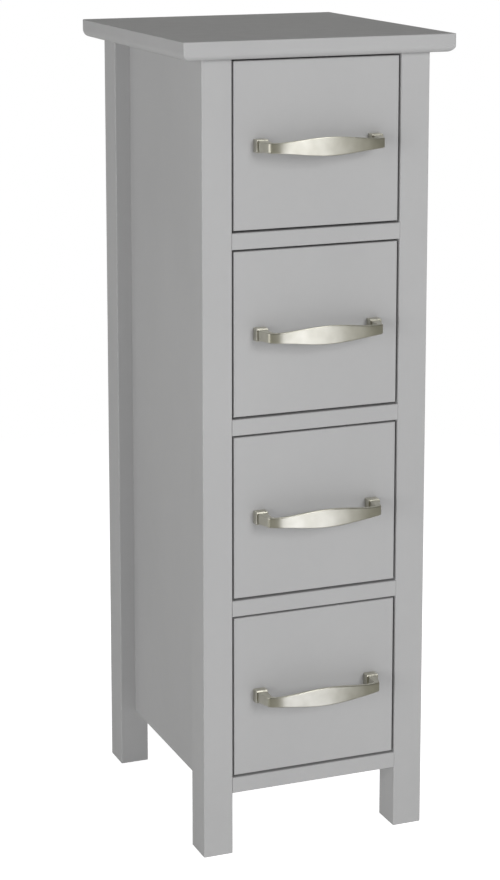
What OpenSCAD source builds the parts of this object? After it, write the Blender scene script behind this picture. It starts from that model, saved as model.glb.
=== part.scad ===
// Narrow bathroom storage tower: four posts, an overhanging top and four drawers with bow handles.
// Millimetres, +Z up. The front faces -Y and the legs stand on z = 0.
// The origin is on the floor, under the middle of the whole tower with its handles.

/* [Body] */
// Width over the posts
body_w = 234; // [210:1:360]
// Depth over the posts
body_d = 286; // [220:1:420]
// Clear height under the lowest rail
leg_h = 62; // [30:1:160]
// Clear height of each drawer opening
opening_h = 164; // [120:1:240]
// Thickness of each front rail
rail_t = 16; // [14:1:22]

/* [Posts and sides] */
// Width of a post, seen from the front
post_w = 30; // [26:1:45]
// Depth of a post, seen from the side
post_d = 34; // [30:1:50]
// Radius of the softened edges of posts, rails and drawer fronts
edge_r = 1; // [0.4:0.1:2]
// Thickness of a side panel, flush with the inner faces of the posts
side_t = 14; // [12:1:18]
// How far the side panels hang below the lowest rail
side_drop = 4; // [0:1:12]
// Thickness of the tongue along a side panel's front and back edges
tongue_t = 6; // [4:0.5:8]
// Length of that tongue in its post
tongue_d = 8; // [5:0.5:9]

/* [Top] */
// Thickness of the top
top_t = 18; // [16:1:30]
// Overhang of the top past the posts at each side
top_side = 22; // [10:0.5:40]
// Overhang of the top past the posts at the front
top_front = 12.5; // [10:0.5:24]
// Radius of the rounded lower edge of the top
top_round = 8; // [3:0.5:10]
// Radius of the top's upright front corners
top_corner = 2; // [1:0.5:6]

/* [Back and base] */
// Thickness of the back panel, nailed on behind the posts
back_t = 3; // [3:0.5:6]
// Distance from the back panel's edge to the outside of the post
back_edge = 4; // [2:0.5:8]
// Thickness of the base panel behind the lowest rail
base_t = 12; // [9:1:16]

/* [Drawer fronts] */
// Gap round each drawer front
drawer_gap = 2; // [1:0.5:4]
// How far a drawer front lies behind the posts
drawer_recess = 1; // [0:0.5:4]
// Thickness of a drawer front
front_t = 16; // [14:1:20]

/* [Drawer boxes] */
// How far the sides of a drawer box lie inside the edges of its front
box_set_in = 0.5; // [0:0.5:3]
// Clear height under a drawer box, from the rail
box_under = 10; // [6:1:20]
// Clear height over a drawer box, to the rail or top above it
box_over = 24; // [8:1:40]
// Gap from a drawer box to the back panel
box_rear_gap = 19; // [10:1:60]
// Thickness of a drawer's sides and back
box_t = 12; // [11:0.5:15]
// Distance from the back of a drawer box to the rear ends of its sides
box_back_in = 6; // [3:0.5:12]
// How far the drawer back is let into each side
box_back_dado = 4; // [2:0.5:6]
// Thickness of a drawer bottom
bottom_t = 3; // [3:0.5:5]
// Height of the bottom above the lower edges of the sides
bottom_up = 8; // [5:0.5:10]
// How far the bottom is let into the sides and the front
bottom_let_in = 5; // [3:0.5:6]

/* [Runners] */
// Height of a runner
runner_h = 16; // [12:0.5:20]
// How far a runner reaches into the groove of a drawer side
runner_bite = 5; // [3:0.5:6]
// Gap above and below a runner in its groove
runner_play = 0.4; // [0.3:0.1:1]
// Gap between a runner and the bottom of its groove
runner_end_gap = 1; // [0.5:0.1:1.5]
// Gap between a runner and the closed drawer front
runner_front_gap = 1; // [0.5:0.5:6]
// Distance from the rear end of a runner to the back panel
runner_rear_gap = 8; // [4:1:16]

/* [Handles] */
// Distance from the edge of a drawer front to the screw of its handle
handle_inset = 26; // [22:1:40]
// Reach of the handle's middle in front of the drawer
handle_reach = 32; // [27:0.5:45]
// Reach of the handle's two corners in front of the drawer
handle_corner_reach = 25.5; // [20:0.5:27]
// How far the strap bows forward between its two ends, before they turn back to the corners
handle_bow = 3.3; // [1:0.1:5]
// Height of the handle's strap at the middle
handle_mid_h = 18; // [12:0.5:26]
// Height of the strap at the corners
handle_corner_h = 9.8; // [7:0.2:11]
// Thickness of the strap
handle_strap_t = 3; // [2:0.5:5]
// Radius between the strap and each arm, on the inside
handle_fillet = 5; // [2:0.5:9]
// Width of the block at a handle's foot
foot_w = 12; // [10:0.2:18]
// Height of that block
foot_h = 12.6; // [11:0.2:16]
// How far that block stands out from the drawer
foot_d = 8.5; // [4:0.5:12]
// How far that block stands out round the arm
foot_step = 1.2; // [0.3:0.1:1.5]
// Size of the bevel along the top and the underside of the block's front
foot_bevel = 1.1; // [0.4:0.1:1.4]

/* [Fasteners] */
// Diameter of the large wooden dowels
dowel_d = 8; // [6:0.5:8]
// Length of the large wooden dowels
dowel_l = 30; // [24:1:34]
// Diameter of the small wooden dowels in the base panel
base_dowel_d = 6; // [5:0.5:6]
// Length of the small wooden dowels in the base panel
base_dowel_l = 24; // [18:1:30]
// Diameter of the cam locks in the rails
rail_cam_d = 15; // [12:1:15]
// Diameter of the cam locks in the side panels and drawer sides
cam_d = 12; // [10:0.5:13]
// Diameter of a cam lock's bolt
bolt_d = 5; // [4:0.5:5]
// Distance from a board's end to the middle of its cam lock
cam_in = 24; // [20:1:34]
// Shank diameter of the runner screws
runner_screw_d = 3.5; // [3:0.5:4]
// Length of the runner screws
runner_screw_l = 20; // [14:1:25]
// Thread diameter of the handle screws
handle_screw_d = 4; // [3:0.5:5]
// How far a handle screw reaches into the handle
handle_screw_in = 9; // [6:0.5:12]
// Shank diameter of the back panel's pins
pin_d = 1.6; // [1.2:0.2:2]
// Length of the back panel's pins
pin_l = 20; // [14:1:25]
// Pins down each side of the back panel
pins_side = 7; // [4:1:10]

/* [Hidden] */
$fn = 32;

drawer_count = 4;
grey = [0.70, 0.70, 0.70];
pale_wood = [0.84, 0.74, 0.60];
hardboard = [0.62, 0.46, 0.32];
runner_grey = [0.55, 0.55, 0.56];
nickel = [0.78, 0.77, 0.72];
zinc = [0.72, 0.73, 0.76];
dowel_wood = [0.80, 0.62, 0.42];

// What a cut runs past the face it opens on
past = 1;
// Play round a fastener in its hole, and round a tongue or panel in its groove
fit = 0.05;
groove_play = 0.1;
// Spare depth at the end of a blind hole or groove
spare = 0.5;
// Straight pieces in a quarter turn of a small and of a large rounded edge
small_steps = 3;
large_steps = 8;
large_round = 3;

// Main planes and sizes
post_h = leg_h + drawer_count * (rail_t + opening_h);
open_w = body_w - 2 * post_w;
handle_ahead = handle_reach - drawer_recess;
front_ahead = max(handle_ahead, top_front);
total_d = front_ahead + body_d + back_t;
front_y = front_ahead - total_d / 2;
side_z = leg_h - side_drop;
side_x = open_w / 2;
tongue_x = side_x + (side_t - tongue_t) / 2;

// Drawer sizes, measured from the posts' front and from the bottom of the opening
front_w = open_w - 2 * drawer_gap;
front_h = opening_h - 2 * drawer_gap;
box_x = front_w / 2 - box_set_in;
box_in_x = box_x - box_t;
box_y = drawer_recess + front_t;
box_end_y = body_d - box_rear_gap;
box_h = opening_h - box_under - box_over;
box_back_y = box_end_y - box_back_in - box_t;
bottom_z = box_under + bottom_up;
bottom_edge_x = box_in_x + bottom_let_in;
runner_z = box_under + box_h / 2;
runner_t = side_x - box_x + runner_bite;
runner_y = box_y + runner_front_gap;
runner_end_y = body_d - runner_rear_gap;
runner_groove_d = runner_bite + runner_end_gap;
handle_z = opening_h / 2;

// Fastener places
bolt_thread_d = bolt_d + 1;
bolt_thread_l = 11;
bolt_head_l = 3;
bolt_way_d = bolt_d + 2;
cam_past_bolt = 3.5;
rail_cam_past_bolt = 4.5;
rail_fix_apart = 13;
rail_dowel_y = (post_d - tongue_d - rail_fix_apart) / 2;
rail_bolt_y = rail_dowel_y + rail_fix_apart;
side_fix_in = 40;
side_fix_y = [post_d + side_fix_in, body_d - post_d - side_fix_in];
top_dowel_up = min(12, top_t - 5);
box_cam_edge = 22;
box_cam_z = [box_under + box_cam_edge, box_under + box_h - box_cam_edge];
runner_head_d = 2 * runner_screw_d;
runner_screw_y = [runner_y + runner_head_d / 2 + spare, runner_end_y - runner_head_d];
runner_head_l = 2.5;
handle_head_d = 2 * handle_screw_d;
handle_head_l = 2.4;
pin_head_d = 2 * pin_d;
pin_head_l = 0.8;
pin_end = 24;
pins_base = 3;

// Handle outline
handle_cc = front_w - 2 * handle_inset;
handle_corner_x = handle_cc / 2;
handle_foot_out = handle_cc / 2 + foot_w / 2;
handle_foot_in = handle_cc / 2 - foot_w / 2;
handle_steps = 24;
handle_bend_at = 0.6;
handle_arm_in = handle_foot_in + foot_step;
handle_arm_end = handle_arm_in - handle_fillet;

function opening_z(n) = leg_h + rail_t + (drawer_count - n) * (opening_h + rail_t);

// ---- Outlines ----

// One corner of an outline: an arc of a quarter turn about (x, y), or the sharp point itself
function corner(x, y, r, turn) =
    r == 0 ? [[x, y]] :
    let (steps = r > large_round ? large_steps : small_steps)
    [for (i = [0 : steps]) [x + r * cos(turn + 90 * i / steps), y + r * sin(turn + 90 * i / steps)]];

// A rectangle from the origin, with a radius for each corner: low left, low right, high right, high left
function outline(w, h, r) = concat(
    corner(r[0], r[0], r[0], 180),
    corner(w - r[1], r[1], r[1], 270),
    corner(w - r[2], h - r[2], r[2], 0),
    corner(r[3], h - r[3], r[3], 90)
);

// Boards of size [x, y, z] from their low corner, with the edges along one axis rounded
module board_x(size, r)
    rotate([90, 0, 90]) linear_extrude(size[0]) polygon(outline(size[1], size[2], r));

module board_y(size, r)
    translate([0, size[1], 0]) rotate([90, 0, 0]) linear_extrude(size[1])
        polygon(outline(size[0], size[2], r));

module board_z(size, r)
    linear_extrude(size[2]) polygon(outline(size[0], size[1], r));

// A box between two corners
module block(low, high) translate(low) cube(high - low);

// ---- Placing ----

// From the floor's origin to the middle of the posts' front
module at_front() translate([0, front_y, 0]) children();

// The same, at the bottom of one opening
module at_opening(n) translate([0, front_y, opening_z(n)]) children();

// Draws its child at the right and mirrors it to the left
module both_sides() {
    children();
    mirror([1, 0, 0]) children();
}

// The child of the left (-1) or right (1) side, drawn for the right
module on_side(side) mirror([side < 0 ? 1 : 0, 0, 0]) children();

// Turns a child that points along +Z to point along +X or +Y
module along_x() rotate([0, 90, 0]) children();
module along_y() rotate([-90, 0, 0]) children();

// ---- Fasteners, each along +Z ----

// A cam lock: its face at z = 0, the bolt's axis at bolt_z, the bolt coming in along +X
module cam(d, past_bolt, bolt_z) {
    slot_w = 1.2;
    slot_l = d * 0.6;
    slot_deep = 1.5;
    way = bolt_d + 4 * fit;
    difference() {
        cylinder(d = d, h = bolt_z + past_bolt);
        block([-bolt_head_l - fit, -way / 2, bolt_z - way / 2], [d, way / 2, bolt_z + way / 2]);
        for (turn = [0, 90]) rotate([0, 0, turn])
            block([-slot_l / 2, -slot_w / 2, -past], [slot_l / 2, slot_w / 2, slot_deep]);
    }
}

// The pocket for a cam lock, and the bolt's way to it from the board's end
module cam_pocket(d, past_bolt, bolt_z) {
    translate([0, 0, -past]) cylinder(d = d + 2 * fit, h = bolt_z + past_bolt + past + fit);
    translate([0, 0, bolt_z]) along_x() cylinder(d = bolt_way_d, h = cam_in + past);
}

// A cam lock's bolt: its thread goes past the board's end, its head ends in the cam lock
module bolt() {
    translate([0, 0, -bolt_head_l]) cylinder(d = bolt_d, h = cam_in + bolt_head_l + fit);
    translate([0, 0, cam_in]) cylinder(d = bolt_thread_d, h = bolt_thread_l);
}

// The hole for its thread, from the board's end at z = 0
module bolt_hole()
    translate([0, 0, -past]) cylinder(d = bolt_thread_d + 2 * fit, h = bolt_thread_l + past + spare);

// A dowel that reaches up above z = 0 and down below it, and the hole for it
module dowel(d, up, down) translate([0, 0, -down]) cylinder(d = d, h = up + down);
module dowel_hole(d, up, down) dowel(d + 2 * fit, up + spare, down + spare);

// A countersunk screw with its head's face at z = 0, and the hole for it
module countersunk(d, head_d, head_l, l) {
    cylinder(d = d, h = l);
    cylinder(d1 = head_d, d2 = d, h = head_l);
}
module countersunk_hole(d, head_d, head_l, l) {
    countersunk(d + 2 * fit, head_d + 2 * fit, head_l + fit, l + spare);
    translate([0, 0, -past]) cylinder(d = head_d + 2 * fit, h = past);
}

module cross_recess(d, deep)
    for (turn = [0, 90]) rotate([0, 0, turn])
        block([-d / 2, -d / 10, -past], [d / 2, d / 10, deep]);

// ---- Where the fasteners of the body go ----

// The rail joints: one dowel and one bolt at each end of a rail
module each_rail_dowel(n) both_sides()
    translate([side_x, rail_dowel_y, opening_z(n) - rail_t / 2]) along_x() children();
module each_rail_cam(n) both_sides()
    translate([side_x - cam_in, rail_bolt_y, opening_z(n) - rail_t]) children();
module each_rail_bolt(n) each_rail_cam(n) translate([0, 0, rail_t / 2]) along_x() children();

// The top's joints: one dowel in each post, two bolts in each side panel
module each_top_dowel() both_sides()
    for (y = [post_d / 2, body_d - post_d / 2])
        translate([body_w / 2 - post_w / 2, y, post_h]) children();
module each_side_cam() both_sides()
    for (y = side_fix_y)
        translate([side_x, y, post_h - cam_in]) rotate([0, 90, 0]) rotate([0, 0, 180]) children();
module each_side_bolt() both_sides()
    for (y = side_fix_y) translate([side_x + side_t / 2, y, post_h - cam_in]) children();

// The base panel's dowels into the side panels
module each_base_dowel() both_sides()
    for (y = side_fix_y)
        translate([side_x, y, leg_h + rail_t - base_t / 2]) along_x() children();
base_dowel_out = side_t - 4;
base_dowel_in = base_dowel_l - base_dowel_out;

// The runner screws, head first
module each_runner_screw(n) both_sides()
    for (y = runner_screw_y)
        translate([side_x - runner_t, y, opening_z(n) + runner_z]) along_x() children();

// The pins of the back panel, head first
module each_pin() {
    pin_gap = (post_h - side_z - 2 * pin_end) / (pins_side - 1);
    both_sides()
        for (i = [0 : pins_side - 1])
            translate([body_w / 2 - post_w / 2, body_d + back_t, side_z + pin_end + i * pin_gap])
                along_y() mirror([0, 0, 1]) children();
    for (i = [0 : pins_base - 1])
        translate([(i - (pins_base - 1) / 2) * open_w / pins_base, body_d + back_t,
                   leg_h + rail_t - base_t / 2])
            along_y() mirror([0, 0, 1]) children();
}

module pin_holes() each_pin() countersunk_hole(pin_d, pin_head_d, pin_head_l, pin_l);
module runner_screw_holes()
    for (n = [1 : drawer_count])
        each_runner_screw(n) countersunk_hole(runner_screw_d, runner_head_d, runner_head_l, runner_screw_l);

// ---- Body ----

module top_panel() color(grey) at_front() {
    w = body_w + 2 * top_side;
    d = top_front + body_d + back_t;
    difference() {
        translate([-w / 2, -top_front, post_h]) intersection() {
            board_x([w, d, top_t], [top_round, 0, 0, edge_r]);
            board_y([w, d, top_t], [top_round, top_round, edge_r, edge_r]);
            board_z([w, d, top_t], [top_corner, top_corner, 0, 0]);
        }
        each_top_dowel() dowel_hole(dowel_d, top_dowel_up, dowel_l - top_dowel_up);
        each_side_bolt() translate([0, 0, cam_in]) bolt_hole();
    }
}

// A post for the right side, its outer front corner rounded like the others
module post(y, groove_y) difference() {
    translate([body_w / 2 - post_w, y, 0])
        board_z([post_w, post_d, post_h], [edge_r, edge_r, edge_r, edge_r]);
    block([tongue_x - groove_play, groove_y, side_z],
          [tongue_x + tongue_t + groove_play, groove_y + tongue_d + spare + past, post_h + past]);
    translate([body_w / 2 - post_w / 2, y + post_d / 2, post_h])
        dowel_hole(dowel_d, past, dowel_l - top_dowel_up);
}

module front_post(side) color(grey) at_front() difference() {
    on_side(side) post(0, post_d - tongue_d - spare);
    for (n = [1 : drawer_count]) {
        each_rail_dowel(n) dowel_hole(dowel_d, dowel_l / 2, past);
        each_rail_bolt(n) translate([0, 0, cam_in]) bolt_hole();
    }
    runner_screw_holes();
}

module back_post(side) color(grey) at_front() difference() {
    on_side(side) post(body_d - post_d, body_d - post_d - past);
    runner_screw_holes();
    pin_holes();
}

module side_panel(side) color(grey) at_front() on_side(side) difference() {
    union() {
        block([side_x, post_d, side_z], [side_x + side_t, body_d - post_d, post_h]);
        block([tongue_x, post_d - tongue_d, side_z],
              [tongue_x + tongue_t, body_d - post_d + tongue_d, post_h]);
    }
    each_side_cam() cam_pocket(cam_d, cam_past_bolt, side_t / 2);
    each_base_dowel() dowel_hole(base_dowel_d, base_dowel_out, past);
    runner_screw_holes();
}

module back_panel() color(grey) at_front() difference() {
    block([back_edge - body_w / 2, body_d, side_z], [body_w / 2 - back_edge, body_d + back_t, post_h]);
    pin_holes();
}

module base_panel() color(grey) at_front() difference() {
    block([-side_x, post_d, leg_h + rail_t - base_t], [side_x, body_d, leg_h + rail_t]);
    each_base_dowel() dowel_hole(base_dowel_d, past, base_dowel_in);
    pin_holes();
}

module front_rail(n) color(grey) at_front() difference() {
    translate([-side_x, 0, opening_z(n) - rail_t])
        board_x([open_w, post_d, rail_t], [edge_r, 0, 0, edge_r]);
    each_rail_dowel(n) dowel_hole(dowel_d, past, dowel_l / 2);
    each_rail_cam(n) cam_pocket(rail_cam_d, rail_cam_past_bolt, rail_t / 2);
}

// The pair of runners of one drawer
module drawer_runners(n) color(runner_grey) at_front() difference() {
    both_sides() translate([0, 0, opening_z(n) + runner_z - runner_h / 2])
        block([side_x - runner_t, runner_y, 0], [side_x, runner_end_y, runner_h]);
    each_runner_screw(n) countersunk_hole(runner_screw_d, runner_head_d, runner_head_l, runner_screw_l);
}

module cam_locks() color(zinc) at_front() {
    for (n = [1 : drawer_count]) each_rail_cam(n) cam(rail_cam_d, rail_cam_past_bolt, rail_t / 2);
    each_side_cam() cam(cam_d, cam_past_bolt, side_t / 2);
}

module cam_bolts() color(zinc) at_front() {
    for (n = [1 : drawer_count]) each_rail_bolt(n) bolt();
    each_side_bolt() bolt();
}

module wooden_dowels() color(dowel_wood) at_front() {
    for (n = [1 : drawer_count]) each_rail_dowel(n) dowel(dowel_d, dowel_l / 2, dowel_l / 2);
    each_top_dowel() dowel(dowel_d, top_dowel_up, dowel_l - top_dowel_up);
    each_base_dowel() dowel(base_dowel_d, base_dowel_out, base_dowel_in);
}

module runner_screws() color(zinc) at_front()
    for (n = [1 : drawer_count]) each_runner_screw(n) difference() {
        countersunk(runner_screw_d, runner_head_d, runner_head_l, runner_screw_l);
        cross_recess(runner_screw_d, 1);
    }

module back_panel_pins() color(zinc) at_front()
    each_pin() countersunk(pin_d, pin_head_d, pin_head_l, pin_l);

// ---- Drawers, each measured from the bottom of its own opening ----

// The two bolts that hold one drawer side to the front, from the cam locks forwards
module each_box_bolt() both_sides()
    for (z = box_cam_z)
        translate([box_in_x + box_t / 2, box_y + cam_in, z]) rotate([90, 0, 0]) children();
module each_box_cam() both_sides()
    for (z = box_cam_z)
        translate([box_in_x, box_y + cam_in, z]) rotate([0, 90, 0]) rotate([0, 0, -90]) children();

// The two screws of the handle, from the back of the drawer front forwards
module each_handle_screw() both_sides()
    translate([handle_cc / 2, box_y, handle_z]) rotate([90, 0, 0]) children();

module drawer_front(n) color(grey) at_opening(n) difference() {
    translate([-front_w / 2, drawer_recess, drawer_gap]) intersection() {
        board_x([front_w, front_t, front_h], [edge_r, 0, 0, edge_r]);
        board_z([front_w, front_t, front_h], [edge_r, edge_r, 0, 0]);
    }
    block([-bottom_edge_x - spare, box_y - bottom_let_in - spare, bottom_z - groove_play],
          [bottom_edge_x + spare, box_y + past, bottom_z + bottom_t + groove_play]);
    each_box_bolt() translate([0, 0, cam_in]) bolt_hole();
    each_handle_screw() translate([0, 0, -past])
        cylinder(d = handle_screw_d + 2 * fit, h = front_t + 2 * past);
}

module drawer_side(n, side) color(pale_wood) at_opening(n) on_side(side) difference() {
    block([box_in_x, box_y, box_under], [box_x, box_end_y, box_under + box_h]);
    block([box_in_x - past, box_y - past, bottom_z - groove_play],
          [bottom_edge_x + spare, box_end_y + past, bottom_z + bottom_t + groove_play]);
    block([box_in_x - past, box_back_y - groove_play, bottom_z],
          [box_in_x + box_back_dado + groove_play, box_back_y + box_t + groove_play,
           box_under + box_h + past]);
    block([box_x - runner_groove_d, box_y - past, runner_z - runner_h / 2 - runner_play],
          [box_x + past, box_end_y + past, runner_z + runner_h / 2 + runner_play]);
    each_box_cam() cam_pocket(cam_d, cam_past_bolt, box_t / 2);
}

module drawer_back(n) color(pale_wood) at_opening(n)
    block([-box_in_x - box_back_dado, box_back_y, bottom_z + bottom_t],
          [box_in_x + box_back_dado, box_back_y + box_t, box_under + box_h]);

module drawer_bottom(n) color(hardboard) at_opening(n)
    block([-bottom_edge_x, box_y - bottom_let_in, bottom_z],
          [bottom_edge_x, box_back_y + box_t, bottom_z + bottom_t]);

module drawer_cam_locks(n) color(zinc) at_opening(n)
    each_box_cam() cam(cam_d, cam_past_bolt, box_t / 2);

module drawer_cam_bolts(n) color(zinc) at_opening(n)
    each_box_bolt() bolt();

module drawer_handle_screws(n) color(zinc) at_opening(n)
    each_handle_screw() {
        cylinder(d = handle_screw_d, h = front_t + handle_screw_in);
        difference() {
            translate([0, 0, -handle_head_l]) cylinder(d = handle_head_d, h = handle_head_l);
            translate([0, 0, -handle_head_l]) cross_recess(handle_screw_d, 1.4);
        }
    }

// ---- The bow handle: x along the drawer, y outwards from it ----

// A smooth rise from 0 at u = -1 or 1 to 1 at u = 0
function bump(u) = abs(u) > 1 ? 0 : (1 + cos(180 * u)) / 2;
// How far the strap's outer face stands out, at u from the middle (0) to a corner (1 or -1):
// a shallow bow, which turns back to the corner near each end
function strap_reach(u) =
    let (beyond = max(0, abs(u) - handle_bend_at) / (1 - handle_bend_at))
    handle_reach - handle_bow * pow(u, 2)
        - (handle_reach - handle_bow - handle_corner_reach) * pow(beyond, 3);
// Half the strap's height there
function strap_half(u) = (handle_corner_h + (handle_mid_h - handle_corner_h) * bump(u)) / 2;

strap_u = [for (i = [-handle_steps : handle_steps]) i / handle_steps];

// The strap from above and from the front
strap_plan = concat(
    [for (u = strap_u) [u * handle_corner_x, strap_reach(u)]],
    [for (u = strap_u) [-u * handle_corner_x, strap_reach(u) - handle_strap_t]]
);
strap_face = concat(
    [for (u = strap_u) [u * handle_corner_x, strap_half(u)]],
    [for (u = strap_u) [-u * handle_corner_x, -strap_half(u)]]
);

// The right arm from above: from its block it leans in to the corner, and a fillet joins it to
// the strap's back
arm_back_reach = strap_reach(handle_arm_end / handle_corner_x) - handle_strap_t;
arm_fillet_reach = arm_back_reach - handle_fillet;
arm_plan = concat(
    [[handle_foot_out - foot_step, 0], [handle_foot_out - foot_step, foot_d],
     [handle_corner_x, handle_corner_reach], [handle_arm_end, arm_back_reach + handle_strap_t / 2]],
    [for (i = [large_steps : -1 : 0])
        [handle_arm_end + handle_fillet * cos(90 * i / large_steps),
         arm_fillet_reach + handle_fillet * sin(90 * i / large_steps)]],
    [[handle_arm_in, 0]]
);
// The same arm from the side, y outwards and z up: from the block its height goes to the corner's
arm_foot_half = foot_h / 2 - foot_step;
arm_side = [
    [0, -arm_foot_half], [foot_d, -arm_foot_half], [handle_corner_reach, -handle_corner_h / 2],
    [handle_corner_reach, handle_corner_h / 2], [foot_d, arm_foot_half], [0, arm_foot_half]
];
// The block at the foot from the side
foot_side = [
    [0, -foot_h / 2], [foot_d - foot_bevel, -foot_h / 2], [foot_d, foot_bevel - foot_h / 2],
    [foot_d, foot_h / 2 - foot_bevel], [foot_d - foot_bevel, foot_h / 2], [0, foot_h / 2]
];

module drawer_handle(n) color(nickel)
    at_opening(n) translate([0, drawer_recess, handle_z]) mirror([0, 1, 0]) difference() {
        union() {
            intersection() {
                translate([0, 0, -handle_mid_h]) linear_extrude(2 * handle_mid_h) polygon(strap_plan);
                translate([0, 2 * handle_reach, 0]) rotate([90, 0, 0])
                    linear_extrude(2 * handle_reach) polygon(strap_face);
            }
            both_sides() intersection() {
                translate([0, 0, -foot_h]) linear_extrude(2 * foot_h) polygon(arm_plan);
                rotate([90, 0, 90]) linear_extrude(handle_cc) polygon(arm_side);
            }
            both_sides() translate([handle_foot_in, 0, 0]) rotate([90, 0, 90])
                linear_extrude(foot_w) polygon(foot_side);
        }
        both_sides() translate([handle_cc / 2, 0, 0]) along_y() translate([0, 0, -past])
            cylinder(d = handle_screw_d + 2 * fit, h = handle_screw_in + spare + past);
    }

// ---- What is drawn ----

top_panel();
front_post(-1);  // front_left_post
front_post(1);  // front_right_post
back_post(-1);  // back_left_post
back_post(1);  // back_right_post
side_panel(-1);  // left_side_panel
side_panel(1);  // right_side_panel
back_panel();
base_panel();
cam_locks();
cam_bolts();
wooden_dowels();
runner_screws();
back_panel_pins();
for (n = [1 : drawer_count]) {
    front_rail(n);
    drawer_runners(n);
    drawer_front(n);
    drawer_side(n, -1);
    drawer_side(n, 1);
    drawer_back(n);
    drawer_bottom(n);
    drawer_handle(n);
    drawer_handle_screws(n);
    drawer_cam_locks(n);
    drawer_cam_bolts(n);
}
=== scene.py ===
# Looks for the bathroom storage tower: finishes for its boards and fittings, finer handles,
# a white studio floor, soft lights and the photograph's view. Everything is in metres, except
# where a comment says otherwise.
import math

import bmesh
import bpy
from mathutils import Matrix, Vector


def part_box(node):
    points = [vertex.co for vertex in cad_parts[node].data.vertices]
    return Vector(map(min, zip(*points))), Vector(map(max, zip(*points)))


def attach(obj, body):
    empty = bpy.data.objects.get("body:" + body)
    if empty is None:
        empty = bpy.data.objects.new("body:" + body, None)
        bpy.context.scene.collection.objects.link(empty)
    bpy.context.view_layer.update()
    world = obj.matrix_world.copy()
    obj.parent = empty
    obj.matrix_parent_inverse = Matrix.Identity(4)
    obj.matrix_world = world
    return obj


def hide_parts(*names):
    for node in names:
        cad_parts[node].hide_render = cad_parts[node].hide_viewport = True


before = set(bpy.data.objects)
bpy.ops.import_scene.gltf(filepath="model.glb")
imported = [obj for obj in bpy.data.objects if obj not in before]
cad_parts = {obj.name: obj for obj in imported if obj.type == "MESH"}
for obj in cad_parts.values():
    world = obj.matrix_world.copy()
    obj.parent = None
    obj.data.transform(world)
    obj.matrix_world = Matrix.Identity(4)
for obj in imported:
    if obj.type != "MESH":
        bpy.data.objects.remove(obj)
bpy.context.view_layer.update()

MM = 0.001
DRAWERS = (1, 2, 3, 4)
WHITE = (1, 1, 1)

# ---- Camera ----
# Fitted so that the tower's outline comes as close to the photograph's as a modest lens shift
# allows. The photograph's own shift is larger, and would leave other views small and skewed.
PHOTO_HEIGHT = 880            # pixels on the long side, which the sensor width spans
SENSOR = 36.0                 # millimetres
FOCAL_PIXELS = 2298.8
CENTRE_ROW = 242              # row of the photograph that the camera points at
CAMERA_PLACE = Vector((-0.8607, -2.1086, 0.9798))
CAMERA_YAW = -0.3805          # from +Y, in radians; less than 0 is to the right
CAMERA_DOWN = 0.1722          # below level, in radians


def new_object(name, data):
    made = bpy.data.objects.new(name, data)
    bpy.context.scene.collection.objects.link(made)
    return made


def camera():
    data = bpy.data.cameras.new("camera")
    data.sensor_width = SENSOR
    data.lens = FOCAL_PIXELS * SENSOR / PHOTO_HEIGHT
    data.shift_y = (CENTRE_ROW - PHOTO_HEIGHT / 2) / PHOTO_HEIGHT
    made = new_object("camera", data)
    made.location = CAMERA_PLACE
    ahead = Vector((
        -math.sin(CAMERA_YAW) * math.cos(CAMERA_DOWN),
        math.cos(CAMERA_YAW) * math.cos(CAMERA_DOWN),
        -math.sin(CAMERA_DOWN),
    ))
    made.rotation_euler = ahead.to_track_quat("-Z", "Y").to_euler()
    bpy.context.scene.camera = made


# ---- Small helpers for node materials ----


def even(value):
    """The same value three times: a grey, or a grain that is alike along X, Y and Z."""
    return (value, value, value)


def add(tree, kind, **values):
    """A node with its properties set; names that are inputs are set on the sockets."""
    node = tree.nodes.new(kind)
    for name, value in values.items():
        if hasattr(node, name):
            setattr(node, name, value)
        else:
            node.inputs[name.replace("_", " ")].default_value = value
    return node


def wire(tree, node, *sources):
    """Links the sources to the node's inputs in order, and gives its first output."""
    for source, socket in zip(sources, node.inputs):
        tree.links.new(source, socket)
    return node.outputs[0]


def new_material(name):
    """A material, its tree, and the shader in it."""
    made = bpy.data.materials.new(name)
    made.use_nodes = True
    tree = made.node_tree
    return made, tree, tree.nodes["Principled BSDF"]


def bare_material(name):
    """A material, its tree with no shader, and the tree's output."""
    made = bpy.data.materials.new(name)
    made.use_nodes = True
    tree = made.node_tree
    tree.nodes.clear()
    return made, tree, add(tree, "ShaderNodeOutputMaterial")


def noise(tree, per_metre, scale=1.0, detail=3.0, rough=0.5, distortion=0.0):
    """Noise in the object's own coordinates, with so many grains per metre along X, Y and Z."""
    coordinates = add(tree, "ShaderNodeTexCoord")
    mapping = add(tree, "ShaderNodeMapping", Scale=per_metre)
    tree.links.new(coordinates.outputs["Object"], mapping.inputs["Vector"])
    node = add(tree, "ShaderNodeTexNoise",
               Scale=scale, Detail=detail, Roughness=rough, Distortion=distortion)
    tree.links.new(mapping.outputs["Vector"], node.inputs["Vector"])
    return node.outputs["Fac"]


def between(tree, factor, low, high, start=0.0, end=1.0):
    """Maps a value from start..end to low..high."""
    node = add(tree, "ShaderNodeMapRange",
               From_Min=start, From_Max=end, To_Min=low, To_Max=high)
    tree.links.new(factor, node.inputs["Value"])
    return node.outputs["Result"]


def plus_share(tree, base, share, extra):
    """base + share * extra."""
    node = add(tree, "ShaderNodeMath", operation="MULTIPLY_ADD")
    tree.links.new(extra, node.inputs[0])
    node.inputs[1].default_value = share
    tree.links.new(base, node.inputs[2])
    return node.outputs[0]


def distance_out(tree):
    """How far a point of an object lies from the object's origin."""
    node = add(tree, "ShaderNodeVectorMath", operation="LENGTH")
    tree.links.new(add(tree, "ShaderNodeTexCoord").outputs["Object"], node.inputs[0])
    return node.outputs["Value"]


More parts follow.
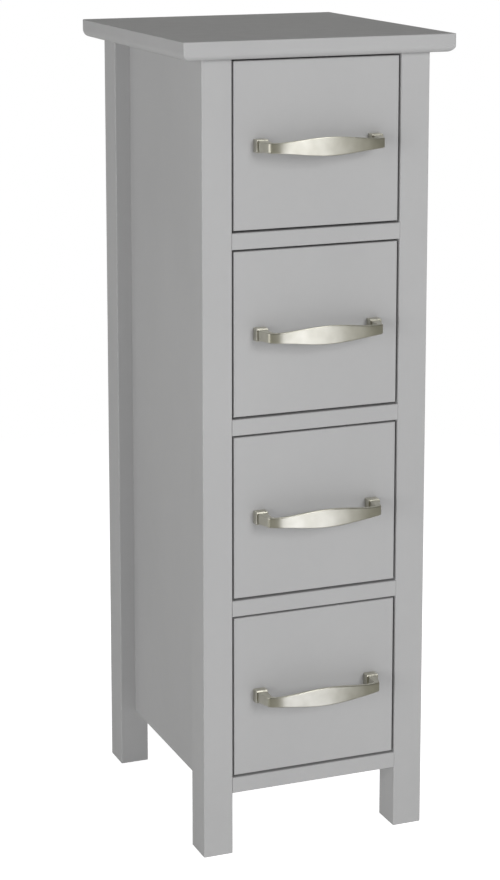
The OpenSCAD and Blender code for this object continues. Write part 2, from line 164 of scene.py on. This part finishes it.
def ramp(tree, factor, stops):
    """A colour ramp of (position, colour)."""
    node = add(tree, "ShaderNodeValToRGB")
    elements = node.color_ramp.elements
    while len(elements) < len(stops):
        elements.new(1.0)
    for element, (position, colour) in zip(elements, stops):
        element.position = position
        element.color = (*colour, 1.0)
    tree.links.new(factor, node.inputs["Fac"])
    return node.outputs["Color"]


def tint(tree, shader, factor, tones, start, end):
    """Spreads the tones evenly over the factor's range from start to end."""
    step = (end - start) / (len(tones) - 1)
    stops = [(start + i * step, tone) for i, tone in enumerate(tones)]
    tree.links.new(ramp(tree, factor, stops), shader.inputs["Base Color"])


def tint_mix(tree, shader, mix, tones, spread):
    """The same for a mix of noises, which runs past 1."""
    tint(tree, shader, between(tree, mix, 0, 1, *spread), tones, 0, 1)


def roughen(tree, shader, factor, rough, span):
    """The roughness follows the factor: rough is reached at both ends of the span."""
    tree.links.new(between(tree, factor, *rough, *span), shader.inputs["Roughness"])


def relief(tree, shader, heights):
    """Bumps one after the other; each is (height, depth in metres, strength)."""
    normal = None
    for height, depth, strength in heights:
        bump = add(tree, "ShaderNodeBump", Distance=depth, Strength=strength)
        tree.links.new(height, bump.inputs["Height"])
        if normal is not None:
            tree.links.new(normal, bump.inputs["Normal"])
        normal = bump.outputs["Normal"]
    tree.links.new(normal, shader.inputs["Normal"])


# ---- Finishes ----
# Colours are linear and go from dark to light. Grains are counted per metre. A RELIEF is its
# depth in metres and its strength, a ROUGH is the least and the most roughness, and a SPREAD is
# the part of a mix that the tones take up.
WHOLE = (0, 1)
NOISE_SPAN = (0.3, 0.7)       # noise keeps mostly between these

PAINT_GREY = 0.41
PAINT_DRIFT = 0.012           # how far the paint drifts lighter and darker over the boards
PAINT_BLUE = (1.004, 1.002)   # its blue over its grey, where it is darkest and lightest
PAINT_CLOUDS = (7, 7, 4)
PAINT_SPECKS = even(60)
PAINT_SPECK_SHARE = 0.35
PAINT_SPREAD = (0.45, 0.9)
PAINT_ROUGH = (0.42, 0.52)
PAINT_SHINE = 0.25
PAINT_SKIN = {"scale": 520.0, "detail": 2.0, "rough": 0.5}
PAINT_SKIN_RELIEF = (0.00003, 0.6)

PINE = [(0.50, 0.36, 0.21), (0.62, 0.47, 0.29), (0.70, 0.56, 0.38)]
BEECH = [(0.42, 0.25, 0.13), (0.52, 0.34, 0.19), (0.60, 0.42, 0.26)]
RING_SCALE = 0.9
FIBRES = 9                    # fibres to a ring
FIBRE_SHARE = 0.4
WOOD_SPREAD = (0.45, 0.95)
WOOD_ROUGH = (0.49, 0.63)
WOOD_SHINE = 0.3
WOOD_RELIEF = (0.00012, 0.6)

HARDBOARD = [(0.29, 0.18, 0.105), (0.40, 0.26, 0.155), (0.50, 0.35, 0.22)]
HARDBOARD_CLOUDS = even(25)
HARDBOARD_FLECKS = even(900)
FLECK_SHARE = 0.7
HARDBOARD_SPREAD = (0.55, 1.15)
HARDBOARD_ROUGH = 0.5
HARDBOARD_SHINE = 0.35
HARDBOARD_RELIEF = (0.00004, 0.5)

NICKEL = [(0.60, 0.585, 0.50), (0.70, 0.685, 0.60)]
NICKEL_CLOUDS = even(70)
NICKEL_ROUGH = (0.28, 0.34)
BRUSHING = (90, 2600, 2600)
BRUSHED = 0.65                # how far highlights draw out, and which way:
BRUSHED_ACROSS = {"Y": -0.4, "Z": 1.0}
BRUSHING_RELIEF = (0.00002, 0.35)

ZINC = [(0.52, 0.53, 0.56), (0.66, 0.67, 0.69)]
ZINC_CLOUDS = even(260)
ZINC_ROUGH = (0.3, 0.45)
ZINC_RELIEF = (0.00003, 0.4)

PLASTIC = [even(0.60), (0.65, 0.65, 0.64)]
PLASTIC_CLOUDS = even(40)
PLASTIC_GRAIN = even(700)
PLASTIC_ROUGH = (0.40, 0.55)
PLASTIC_RELIEF = (0.00003, 0.4)


def paint(name, grain, grain_depth):
    """Satin grey paint: a fine sprayed skin over sanded board, whose grain just shows through."""
    made, tree, shader = new_material(name)
    drift = noise(tree, PAINT_CLOUDS, detail=2.0)
    specks = noise(tree, PAINT_SPECKS, detail=4.0, rough=0.6)
    greys = (PAINT_GREY - PAINT_DRIFT, PAINT_GREY + PAINT_DRIFT)
    tones = [(grey, grey, grey * blue) for grey, blue in zip(greys, PAINT_BLUE)]
    mix = plus_share(tree, drift, PAINT_SPECK_SHARE, specks)
    tint_mix(tree, shader, mix, tones, PAINT_SPREAD)
    roughen(tree, shader, specks, PAINT_ROUGH, NOISE_SPAN)
    shader.inputs["Specular IOR Level"].default_value = PAINT_SHINE
    skin = noise(tree, even(1), **PAINT_SKIN)
    ripple = noise(tree, grain, detail=3.0, rough=0.55, distortion=0.3)
    relief(tree, shader, [(ripple, grain_depth, 1.0), (skin, *PAINT_SKIN_RELIEF)])
    return made


def wood(name, rings, tones):
    """Bare sanded wood, with so many rings per metre along X, Y and Z."""
    made, tree, shader = new_material(name)
    grain = noise(tree, rings, scale=RING_SCALE, detail=5.0, rough=0.6, distortion=0.8)
    fibre = noise(tree, tuple(FIBRES * ring for ring in rings), detail=4.0, rough=0.7)
    mix = plus_share(tree, grain, FIBRE_SHARE, fibre)
    tint_mix(tree, shader, mix, tones, WOOD_SPREAD)
    roughen(tree, shader, fibre, WOOD_ROUGH, WHOLE)
    shader.inputs["Specular IOR Level"].default_value = WOOD_SHINE
    relief(tree, shader, [(mix, *WOOD_RELIEF)])
    return made


def hardboard(name):
    """Brown hardboard: pressed fibres, flecked and clouded."""
    made, tree, shader = new_material(name)
    fleck = noise(tree, HARDBOARD_FLECKS, detail=3.0, rough=0.7)
    cloud = noise(tree, HARDBOARD_CLOUDS, detail=2.0)
    mix = plus_share(tree, cloud, FLECK_SHARE, fleck)
    tint_mix(tree, shader, mix, HARDBOARD, HARDBOARD_SPREAD)
    shader.inputs["Roughness"].default_value = HARDBOARD_ROUGH
    shader.inputs["Specular IOR Level"].default_value = HARDBOARD_SHINE
    relief(tree, shader, [(fleck, *HARDBOARD_RELIEF)])
    return made


def nickel(name):
    """Satin nickel plating, brushed along the handle, so highlights draw out up and down."""
    made, tree, shader = new_material(name)
    brushed = noise(tree, BRUSHING, detail=4.0, rough=0.65)
    cloud = noise(tree, NICKEL_CLOUDS, detail=2.0)
    tint(tree, shader, cloud, NICKEL, *NOISE_SPAN)
    shader.inputs["Metallic"].default_value = 1.0
    roughen(tree, shader, brushed, NICKEL_ROUGH, NOISE_SPAN)
    shader.inputs["Anisotropic"].default_value = BRUSHED
    across = add(tree, "ShaderNodeCombineXYZ", **BRUSHED_ACROSS)
    tree.links.new(across.outputs["Vector"], shader.inputs["Tangent"])
    relief(tree, shader, [(brushed, *BRUSHING_RELIEF)])
    return made


def zinc(name):
    """Dull zinc plating, a little clouded."""
    made, tree, shader = new_material(name)
    cloud = noise(tree, ZINC_CLOUDS, detail=3.0)
    tint(tree, shader, cloud, ZINC, *NOISE_SPAN)
    shader.inputs["Metallic"].default_value = 1.0
    roughen(tree, shader, cloud, ZINC_ROUGH, NOISE_SPAN)
    relief(tree, shader, [(cloud, *ZINC_RELIEF)])
    return made


def plastic(name):
    """Pale moulded plastic with a fine grain."""
    made, tree, shader = new_material(name)
    grain = noise(tree, PLASTIC_GRAIN, detail=2.0)
    cloud = noise(tree, PLASTIC_CLOUDS, detail=2.0)
    tint(tree, shader, cloud, PLASTIC, *NOISE_SPAN)
    roughen(tree, shader, grain, PLASTIC_ROUGH, NOISE_SPAN)
    relief(tree, shader, [(grain, *PLASTIC_RELIEF)])
    return made


def finishes():
    """A finish for each material slot of the record, and for each direction of grain."""
    return {
        "grey_paint": paint("grey_paint_finish", even(160), 0.00003),
        "upright": paint("grey_paint_upright", (420, 420, 14), 0.00004),
        "level": paint("grey_paint_level", (14, 420, 420), 0.00004),
        "back_board": paint("back_board_finish", even(300), 0.00006),
        "drawer_wood": wood("drawer_wood_deep", (60, 2.2, 60), PINE),
        "drawer_back": wood("drawer_wood_across", (2.2, 60, 60), PINE),
        "drawer_board": hardboard("drawer_board_finish"),
        "runner_plastic": plastic("runner_plastic_finish"),
        "handle_nickel": nickel("handle_nickel_finish"),
        "zinc_fittings": zinc("zinc_fittings_finish"),
        "dowel_wood": wood("dowel_wood_finish", even(60), BEECH),
    }


def finish_of(node, slot):
    """The finish of a node: its slot's, or the one whose grain runs along the board."""
    if slot == "grey_paint" and "post" in node:
        return "upright"
    if slot == "grey_paint" and ("rail" in node or node == "top_panel"):
        return "level"
    if slot == "drawer_wood" and node.endswith("_back"):
        return "drawer_back"
    return slot


def dress(finish):
    for name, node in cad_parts.items():
        slot = node.material_slots[0].material.name.split(".")[0]
        node.data.materials.clear()
        node.data.materials.append(finish[finish_of(name, slot)])


# ---- The bow handle, as the CAD has it, with rounded edges (millimetres) ----
FOOT_W, FOOT_H, FOOT_D = 12.0, 12.6, 8.5   # the block at each foot
FOOT_STEP = 1.2               # how far the block stands out round the arm
FOOT_ROUND = 0.5
BEVEL_DEPTH = 1.3             # the slope at the front of the block's top and underside
BEVEL_DROP = 1.15
RIM = 0.15                    # edge of the block round the groove that the arm stands in
GROOVE = 1.0                  # depth of that groove
CORNER_REACH = 25.5           # from the drawer to the corner of arm and strap
CORNER_H = 9.8
STRAP_T = 3.0
STRAP_BOW = 3.3               # how far the strap bows out between its ends
BEND_AT = 0.6                 # where the strap starts to turn back to the corner
BEND_POWER = 3
FILLET = 5.0
EDGE = 1.2                    # rounding of the long edges that face out
INNER_EDGE = 0.4              # and of those that face in
CORNER_ROUND = 2.2            # rounding of the upright edge between arm and strap
CORNER_NEAR = 1.0             # the strap's direction at the corner is taken from this far off
EDGE_STEPS = 4
STRAP_STEPS = 36
TURN_STEPS = 18
ARM_STEPS = 8
SHARP = math.radians(35)      # edges with a larger angle stay sharp

# The foot's block, from its front back to the drawer. Each slice gives how far it is set in at
# the sides, how far at the top and underside, and its distance from the drawer. The slices that
# lie close together round the edges.
FOOT_SLICES = (
    (RIM, BEVEL_DROP, FOOT_D - GROOVE),
    (RIM, BEVEL_DROP, FOOT_D),
    (0.05, BEVEL_DROP, FOOT_D),
    (0, BEVEL_DROP * 0.9, FOOT_D - 0.12),
    (0, 0.06, FOOT_D - BEVEL_DEPTH),
    (0, 0, FOOT_D - BEVEL_DEPTH - 0.4),
    (0, 0, 0),
)


def cosine_bump(u):
    """1 in the middle, falling smoothly to 0 where u is 1 or -1."""
    return 0 if abs(u) > 1 else (1 + math.cos(math.pi * u)) / 2


class Handle:
    """The shape of one handle, from its CAD box. x runs along it from its middle, and y out from
    the drawer."""

    def __init__(self, low, high):
        self.foot_out = (high.x - low.x) / 2 / MM
        self.middle = ((low.x + high.x) / 2, high.y, (low.z + high.z) / 2)
        self.reach = (high.y - low.y) / MM
        self.mid_h = (high.z - low.z) / MM
        self.corner_x = self.foot_out - FOOT_W / 2
        self.arm_in = self.foot_out - FOOT_W + FOOT_STEP
        self.arm_end = self.arm_in - FILLET

    def strap_reach(self, x):
        """y of the strap's outer side."""
        u = abs(x) / self.corner_x
        beyond = max(0, u - BEND_AT) / (1 - BEND_AT)
        turn = self.reach - STRAP_BOW - CORNER_REACH
        return self.reach - STRAP_BOW * u ** 2 - turn * beyond ** BEND_POWER

    def strap_half(self, x):
        """Half the strap's height."""
        return (CORNER_H + (self.mid_h - CORNER_H) * cosine_bump(x / self.corner_x)) / 2

    def along_arm(self, at_foot, at_corner, reach):
        """A value that changes evenly along the arm, at a distance from the drawer."""
        return at_foot + (at_corner - at_foot) * (reach - FOOT_D) / (CORNER_REACH - FOOT_D)

    def arm_out(self, reach):
        """x of the arm's outer side."""
        return self.along_arm(self.foot_out - FOOT_STEP, self.corner_x, reach)

    def arm_half(self, reach):
        """Half the arm's height."""
        return self.along_arm(FOOT_H / 2 - FOOT_STEP, CORNER_H / 2, reach)

    def slices(self):
        """From the strap's middle to the right foot, each as (inner point, outer point, half
        height, rounding)."""
        made = []
        for i in range(STRAP_STEPS):
            x = self.arm_end * i / STRAP_STEPS
            reach = self.strap_reach(x)
            made.append(((x, reach - STRAP_T), (x, reach), self.strap_half(x), EDGE))
        arm_y = self.strap_reach(self.arm_end) - STRAP_T - FILLET
        outline = self.turn_outline(arm_y)
        for i, (x, y) in enumerate(outline):
            turn = math.pi / 2 * (1 - i / (len(outline) - 1))
            inner = (self.arm_end + FILLET * math.cos(turn), arm_y + FILLET * math.sin(turn))
            half = self.strap_half(x) if i < TURN_STEPS else self.arm_half(y)
            made.append((inner, (x, y), half, EDGE))
        groove_y = FOOT_D - GROOVE
        for i in range(1, ARM_STEPS + 1):
            y = arm_y + (groove_y - arm_y) * i / ARM_STEPS
            made.append(((self.arm_in, y), (self.arm_out(y), y), self.arm_half(y), EDGE))
        for inset, drop, y in FOOT_SLICES:
            inner, outer = self.foot_out - FOOT_W + inset, self.foot_out - inset
            made.append(((inner, y), (outer, y), FOOT_H / 2 - drop, FOOT_ROUND))
        return made

    def turn_outline(self, arm_y):
        """The outer side where strap turns into arm: along the strap, round the corner, back
        along the arm to arm_y."""
        corner = Vector((self.corner_x, CORNER_REACH))
        near_x = self.corner_x - CORNER_NEAR
        along = Vector((near_x, self.strap_reach(near_x))) - corner
        back = Vector((self.arm_out(FOOT_D), FOOT_D)) - corner
        start = corner + along.normalized() * CORNER_ROUND
        end = corner + back.normalized() * CORNER_ROUND
        points = []
        for i in range(TURN_STEPS):
            x = self.arm_end + (start.x - self.arm_end) * i / TURN_STEPS
            points.append((x, self.strap_reach(x)))
        for i in range(EDGE_STEPS + 1):
            t = i / EDGE_STEPS
            curve = start * (1 - t) ** 2 + corner * 2 * t * (1 - t) + end * t ** 2
            points.append(tuple(curve))
        for i in range(1, EDGE_STEPS + 1):
            y = end.y + (arm_y - end.y) * i / EDGE_STEPS
            points.append((self.arm_out(y), y))
        return points


def slice_ring(inner, outer, half, edge):
    """A rounded rectangle between two points of the plan, as points (x, y, z)."""
    inner, outer = Vector(inner), Vector(outer)
    width = (outer - inner).length
    ahead = (outer - inner) / width
    near = min(edge, INNER_EDGE)
    corners = ((width - edge, half - edge, 0, edge), (near, half - near, 90, near),
               (near, near - half, 180, near), (width - edge, edge - half, 270, edge))
    ring = []
    for along, up, start, radius in corners:
        for i in range(EDGE_STEPS + 1):
            a = math.radians(start + 90 * i / EDGE_STEPS)
            p = inner + ahead * (along + radius * math.cos(a))
            ring.append((p.x, p.y, up + radius * math.sin(a)))
    return ring


def mesh_data(name, mesh):
    """Mesh data from a bmesh, which is freed."""
    data = bpy.data.meshes.new(name)
    mesh.to_mesh(data)
    mesh.free()
    return data


def handle(number, material):
    """One handle as a single skin from foot to foot, in the place of the CAD's."""
    node = f"drawer_{number}_handle"
    shape = Handle(*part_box(node))
    right = [slice_ring(*one) for one in shape.slices()]
    left = [[(-x, y, z) for x, y, z in ring] for ring in reversed(right[1:])]
    middle_x, face_y, middle_z = shape.middle
    mesh = bmesh.new()
    rings = []
    for ring in left + right:
        places = [(middle_x + x * MM, face_y - y * MM, middle_z + z * MM) for x, y, z in ring]
        rings.append([mesh.verts.new(place) for place in places])
    size = len(rings[0])
    for a, b in zip(rings, rings[1:]):
        for i in range(size):
            j = (i + 1) % size
            mesh.faces.new((a[i], a[j], b[j], b[i]))
    mesh.faces.new(rings[0])
    mesh.faces.new(list(reversed(rings[-1])))
    bmesh.ops.recalc_face_normals(mesh, faces=mesh.faces)
    data = mesh_data(node + "_satin", mesh)
    data.shade_smooth()
    data.set_sharp_from_angle(angle=SHARP)
    data.materials.append(material)
    piece = new_object(node + "_satin", data)
    weighted = piece.modifiers.new("even faces", "WEIGHTED_NORMAL")
    weighted.keep_sharp = True
    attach(piece, f"drawer_{number}")
    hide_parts(node)


# ---- Studio ----
FLOOR_SIZE = 60.0
FLOOR_WHITE = 0.9
FLOOR_MIRRORED = (0.57, 0.56, 0.50)   # the same floor, as gloss mirrors it
FLOOR_BOUNCE = 0.32           # light it throws up besides what it reflects
FLOOR_GLOW = 0.8              # lifts the floor to the background's white, for the camera alone
FLOOR_BLEND = (0.55, 1.5)     # distances between which it turns into the background
ROOM_LIGHT = 0.27
ROOM_MIRRORED = 0.55          # of that, as gloss mirrors it
ROOM_TONE = (1, 0.985, 0.88)


def floor():
    bpy.ops.mesh.primitive_plane_add(size=FLOOR_SIZE, location=(0, 0, 0))
    made = bpy.context.object
    made.name = "floor"
    material, tree, output = bare_material("floor_white")
    path = add(tree, "ShaderNodeLightPath")
    seen = path.outputs["Is Camera Ray"]
    matte = add(tree, "ShaderNodeBsdfDiffuse")
    whites = [(0.0, even(FLOOR_WHITE)), (1.0, FLOOR_MIRRORED)]
    tree.links.new(ramp(tree, path.outputs["Is Glossy Ray"], whites), matte.inputs["Color"])
    glow = add(tree, "ShaderNodeEmission")
    lifted = between(tree, seen, 0, FLOOR_GLOW)
    bounced = between(tree, path.outputs["Is Diffuse Ray"], 0, FLOOR_BOUNCE)
    both = wire(tree, add(tree, "ShaderNodeMath", operation="ADD"), lifted, bounced)
    tree.links.new(both, glow.inputs["Strength"])
    near = wire(tree, add(tree, "ShaderNodeAddShader"), matte.outputs[0], glow.outputs[0])
    far = add(tree, "ShaderNodeEmission", Strength=1.0)
    blend = between(tree, distance_out(tree), 0, 1, *FLOOR_BLEND)
    shown = wire(tree, add(tree, "ShaderNodeMath", operation="MULTIPLY"), blend, seen)
    mixed = wire(tree, add(tree, "ShaderNodeMixShader"), shown, near, far.outputs[0])
    tree.links.new(mixed, output.inputs["Surface"])
    material.cycles.emission_sampling = "NONE"
    made.data.materials.append(material)


def room():
    """White behind everything, and a dimmer even light on the object."""
    world = bpy.data.worlds.new("room")
    bpy.context.scene.world = world
    world.use_nodes = True
    tree = world.node_tree
    light = tree.nodes["Background"]
    path = add(tree, "ShaderNodeLightPath")
    mirrored = tuple(ROOM_MIRRORED * tone for tone in ROOM_TONE)
    tones = [(0.0, WHITE), (1.0, mirrored)]
    strength = between(tree, path.outputs["Is Camera Ray"], ROOM_LIGHT, 1.0)
    wire(tree, light, ramp(tree, path.outputs["Is Glossy Ray"], tones), strength)


COOL = (0.95, 0.96, 1.04)
CARD_APEX = -0.14             # y of the wedge's point
CARD_NEAR, CARD_FAR = 0.1, 2.2
CARD_TURN = (-3, 28)          # its sides, in degrees to the right of the tower's front
CARD_GLOW = (1.1, 1.8)        # near the tower and away from it
CARD_BLEND = (0.6, 1.1)       # distances between which the one turns into the other


def card():
    """A wedge of light on the floor in front of the tower, which only gloss mirrors."""
    mesh = bmesh.new()
    left, right = (math.radians(turn) for turn in CARD_TURN)
    corners = ((left, CARD_NEAR), (right, CARD_NEAR), (right, CARD_FAR), (left, CARD_FAR))
    mesh.faces.new([
        mesh.verts.new((away * math.sin(turn), CARD_APEX - away * math.cos(turn), MM))
        for turn, away in corners
    ])
    made = new_object("card", mesh_data("card", mesh))
    material, tree, output = bare_material("card_light")
    glow = add(tree, "ShaderNodeEmission", Color=(*COOL, 1))
    strength = between(tree, distance_out(tree), *CARD_GLOW, *CARD_BLEND)
    tree.links.new(strength, glow.inputs["Strength"])
    tree.links.new(glow.outputs[0], output.inputs["Surface"])
    made.data.materials.append(material)
    made.visible_camera = False
    made.visible_diffuse = False
    made.visible_shadow = False


# Each softbox: azimuth in degrees to the right of the tower's front, distance out, height, size,
# radiance, height of the point that it faces, tone, and whether gloss mirrors it. Those that
# gloss mirrors light nothing, and the others aren't mirrored.
SOFTBOXES = {
    "key": (17, 8.0, 3.3, (2.85, 2.85), 10.7, 0.4, WHITE, False),
    "strip": (11.5, 2.4, 1.1, (1.05, 2.2), 0.62, 0.6, COOL, True),
    "strip_core": (15.5, 2.38, 1.1, (0.6, 2.2), 0.72, 0.6, COOL, True),
    "left_fill": (-56, 4.5, 0.7, (2.4, 2.2), 5.0, 0.4, WHITE, False),
    "back_fill": (145, 4.5, 0.7, (2.4, 2.2), 3.2, 0.4, WHITE, False),
    "left_card": (-92, 2.4, 0.9, (3.0, 2.2), 1.1, 0.6, WHITE, True),
    "ceiling": (34, 1.08, 2.6, (0.8, 1.0), 4.5, 0.4, WHITE, True),
    "back_card": (158, 2.5, 1.6, (4.0, 2.4), 0.27, 0.8, WHITE, True),
}


def softbox(name, azimuth, distance, height, size, radiance, aim, tone, mirrored):
    data = bpy.data.lights.new(name, "AREA")
    data.color = tone
    data.shape = "RECTANGLE"
    data.size, data.size_y = size
    data.energy = radiance * math.pi * size[0] * size[1]
    made = new_object(name, data)
    a = math.radians(azimuth)
    made.location = (distance * math.sin(a), -distance * math.cos(a), height)
    facing = Vector((0, 0, aim)) - made.location
    made.rotation_euler = facing.to_track_quat("-Z", "Y").to_euler()
    made.visible_camera = False
    made.visible_glossy = mirrored
    made.visible_diffuse = not mirrored


# ---- Put together ----
camera()
finish = finishes()
dress(finish)
for drawer in DRAWERS:
    handle(drawer, finish["handle_nickel"])
floor()
card()
room()
for name, values in SOFTBOXES.items():
    softbox(name, *values)
bpy.context.scene.view_settings.view_transform = "Standard"
